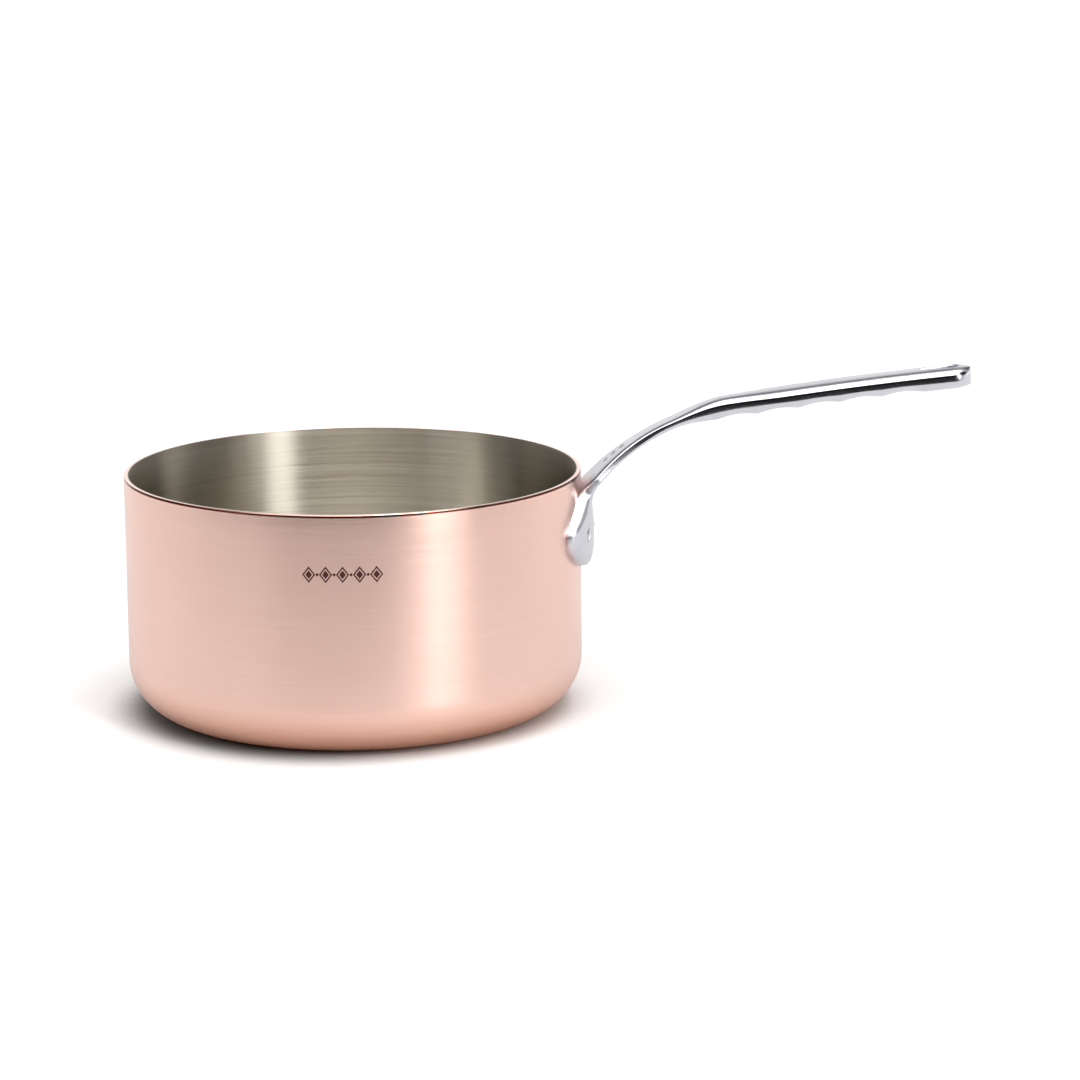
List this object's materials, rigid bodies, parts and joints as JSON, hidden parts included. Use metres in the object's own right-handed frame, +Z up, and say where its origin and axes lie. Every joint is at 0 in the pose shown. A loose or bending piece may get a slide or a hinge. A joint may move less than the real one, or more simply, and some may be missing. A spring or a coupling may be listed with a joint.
{
  "type": "saucepan",
  "caption": "Straight-walled copper saucepan with a stainless lining and a long cast handle riveted on.",
  "frame": {"origin": "centre of the flat base, on the surface that the pan stands on", "axes": "+Z up out of the pan's mouth, +X along the handle from the pan to the tip, +Y to the left of someone who stands behind the pan and looks along the handle"},
  "size_m": [0.3778, 0.204, 0.153],
  "materials": {
    "copper": "satin polished copper",
    "brushed_stainless": "brushed around the pan",
    "cast_stainless": "polished sides, brushed top",
    "rivet_stainless": "polished"
  },
  "bodies": {
    "root": {"copper_shell": "copper", "steel_lining": "brushed_stainless", "handle": "cast_stainless", "rivet_left": "rivet_stainless", "rivet_middle": "rivet_stainless", "rivet_right": "rivet_stainless"}
  },
  "joints": []
}
